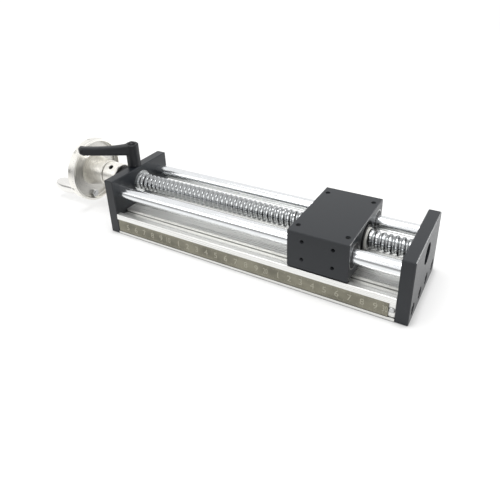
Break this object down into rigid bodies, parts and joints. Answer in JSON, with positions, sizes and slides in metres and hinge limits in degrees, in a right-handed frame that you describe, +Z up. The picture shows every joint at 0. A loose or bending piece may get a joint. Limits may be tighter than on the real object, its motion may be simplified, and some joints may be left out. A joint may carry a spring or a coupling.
{
  "type": "hand-driven linear alignment stage",
  "caption": "Linear stage with a ball screw, twin guide rods, a drilled carriage, a graduated handwheel, a clamping lever and a ruler in its base rail.",
  "frame": {"origin": "middle of the base rail's underside", "axes": "+X along the screw from the handwheel to the bare end plate, +Y to the back, +Z up"},
  "size_m": [0.3933, 0.0843, 0.0852],
  "materials": {
    "anodised_aluminium": "black anodised",
    "extruded_aluminium": "extruded, clear anodised",
    "chromed_steel": "hard chromed and ground",
    "ground_steel": "ground",
    "ruler_steel": "satin, engraved scale",
    "machined_aluminium": "turned",
    "polished_aluminium": "bright plated",
    "black_oxide_steel": "black oxide",
    "white_acetal": "moulded",
    "black_acetal": "moulded",
    "black_rubber": "moulded",
    "brass": "turned",
    "black_coated_zinc": "fine textured powder coat"
  },
  "bodies": {
    "frame": {"base_rail": "extruded_aluminium", "steel_ruler": "ruler_steel", "ruler_stop_screw": "black_oxide_steel", "handwheel_end_plate": "anodised_aluminium", "far_end_plate": "anodised_aluminium", "handwheel_plate_screws": "black_oxide_steel", "far_plate_screws": "black_oxide_steel", "front_guide_rod": "chromed_steel", "back_guide_rod": "chromed_steel", "fixed_bearing_outer_ring": "ground_steel", "fixed_bearing_balls": "ground_steel", "fixed_bearing_shields": "ground_steel", "support_bearing_outer_ring": "ground_steel", "support_bearing_balls": "ground_steel", "support_bearing_shields": "ground_steel", "lock_pad": "brass"},
    "screw": {"ball_screw": "ground_steel", "fixed_bearing_inner_ring": "ground_steel", "support_bearing_inner_ring": "ground_steel", "journal_circlip": "black_oxide_steel", "thrust_washer": "ground_steel", "adjusting_nut": "black_oxide_steel", "jam_nut": "black_oxide_steel", "hub_collar": "machined_aluminium", "collar_set_screws": "black_oxide_steel", "handwheel": "machined_aluminium", "wheel_washer": "ground_steel", "wheel_screw": "black_oxide_steel", "crank_stud": "ground_steel", "crank_nut": "black_oxide_steel"},
    "crank": {"crank_grip": "polished_aluminium"},
    "carriage": {"carriage_block": "anodised_aluminium", "ball_nut": "ground_steel", "nut_wipers": "white_acetal", "nut_set_screws": "black_oxide_steel", "bearing_set_screws": "black_oxide_steel", "front_left_bearing_shell": "ground_steel", "front_right_bearing_shell": "ground_steel", "back_left_bearing_shell": "ground_steel", "back_right_bearing_shell": "ground_steel", "bearing_cages": "black_acetal", "bearing_seals": "black_rubber"},
    "lock": {"lever_insert": "ground_steel", "lever_stud": "ground_steel", "lever_cap": "black_oxide_steel", "lever_spring": "ground_steel"},
    "lever": {"lever_handle": "black_coated_zinc"}
  },
  "joints": [
    {"name": "screw_spin", "type": "hinge", "parent": "frame", "child": "screw", "pos_m": [0, 0, 0.0393], "axis": [1, 0, 0], "range_deg": [-2390.4, 12614.4]},
    {"name": "carriage_slide", "type": "slide", "parent": "frame", "child": "carriage", "axis": [1, 0, 0], "range_m": [-0.1753, 0.0333]},
    {"name": "grip_spin", "type": "hinge", "parent": "screw", "child": "crank", "pos_m": [-0.225, -0.00695, 0.01425], "axis": [1, 0, 0], "continuous": true},
    {"name": "lever_turn", "type": "hinge", "parent": "frame", "child": "lock", "pos_m": [-0.1402, 0, 0.06], "axis": [0, 0, 1], "range_deg": [0, 120]},
    {"name": "lever_lift", "type": "slide", "parent": "lock", "child": "lever", "axis": [0, 0, 1], "range_m": [0, 0.0032], "stiffness_N_per_m": 400, "springref_m": -0.004, "deforming": ["lever_spring"]}
  ],
  "couplings": [
    {"joint": "carriage_slide", "follows": "screw_spin", "m_per_rad": -0.00079577}
  ]
}
